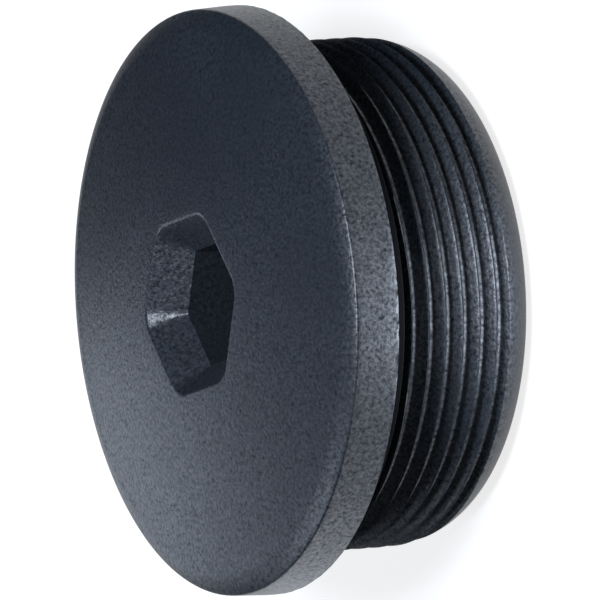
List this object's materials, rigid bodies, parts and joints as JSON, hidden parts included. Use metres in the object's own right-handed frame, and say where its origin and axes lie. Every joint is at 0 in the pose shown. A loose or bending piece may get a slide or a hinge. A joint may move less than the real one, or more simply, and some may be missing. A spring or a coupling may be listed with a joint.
{
  "type": "blind plug",
  "caption": "Round screw plug that closes an unused M40 x 1.5 cable entry: domed flange head with a hexagon socket, threaded hollow shank, and a flat rubber sealing ring under the flange.",
  "frame": {"origin": "on the plug's axis, in the plane of the flange's seat, which is the surface of the wall that it closes", "axes": "+Z along the plug's axis, out of the wall, towards the domed face; the shank and its thread run down along -Z; X and Y are in the seat plane, with a corner of the hexagon socket 10 degrees from +X towards +Y"},
  "size_m": [0.046, 0.046, 0.0201],
  "materials": {
    "moulded_polyamide": "spark-eroded, matt, dark slate grey",
    "ring_rubber": "matt black"
  },
  "bodies": {
    "root": {"plug_body": "moulded_polyamide", "sealing_ring": "ring_rubber"}
  },
  "joints": []
}
